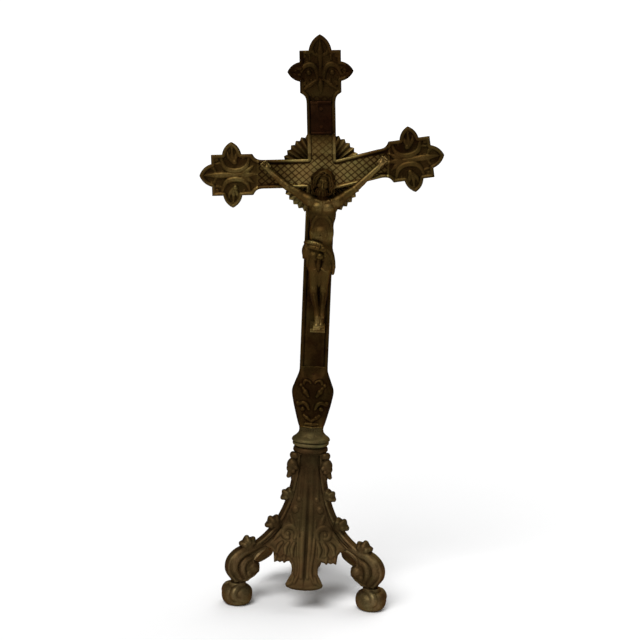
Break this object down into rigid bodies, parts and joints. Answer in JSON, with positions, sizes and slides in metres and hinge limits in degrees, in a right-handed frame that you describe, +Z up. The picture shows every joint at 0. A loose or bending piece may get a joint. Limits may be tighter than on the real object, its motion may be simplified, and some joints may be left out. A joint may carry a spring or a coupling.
{
  "type": "altar cross",
  "caption": "Standing altar cross with a corpus, a rayed disc behind the crossing and a three-legged openwork base, in aged brass.",
  "frame": {"origin": "on the table plane that the three foot pads stand on, at the stem's vertical axis", "axes": "+Z up along the stem, -Y towards the front face that carries the figure, +X to the right seen from the front"},
  "size_m": [0.196, 0.1217, 0.4598],
  "materials": {
    "aged_brass": "cast brass with a dark brown patina, worn lighter on the high relief",
    "rubbed_brass": "cast and turned brass, rubbed pale and olive on its high places",
    "dark_brass": "brass with an almost black oxide patina"
  },
  "bodies": {
    "root": {"cross": "aged_brass", "glory": "aged_brass", "glory_rivets": "dark_brass", "titulus": "dark_brass", "titulus_pins": "aged_brass", "corpus": "rubbed_brass", "hand_nail_left": "rubbed_brass", "hand_nail_right": "rubbed_brass", "feet_nail": "rubbed_brass", "footrest": "rubbed_brass", "knop": "aged_brass", "tang_screw": "dark_brass", "neck_ferrule": "rubbed_brass", "collar_dome": "rubbed_brass", "collar_ring": "rubbed_brass", "base_cap": "aged_brass", "leg_front_left": "aged_brass", "leg_front_right": "aged_brass", "leg_rear": "aged_brass", "panel_front": "aged_brass", "panel_rear_left": "aged_brass", "panel_rear_right": "aged_brass", "tie_rod": "dark_brass", "clamp_plate": "dark_brass", "clamp_screws": "dark_brass", "clamp_nut": "dark_brass"}
  },
  "joints": []
}
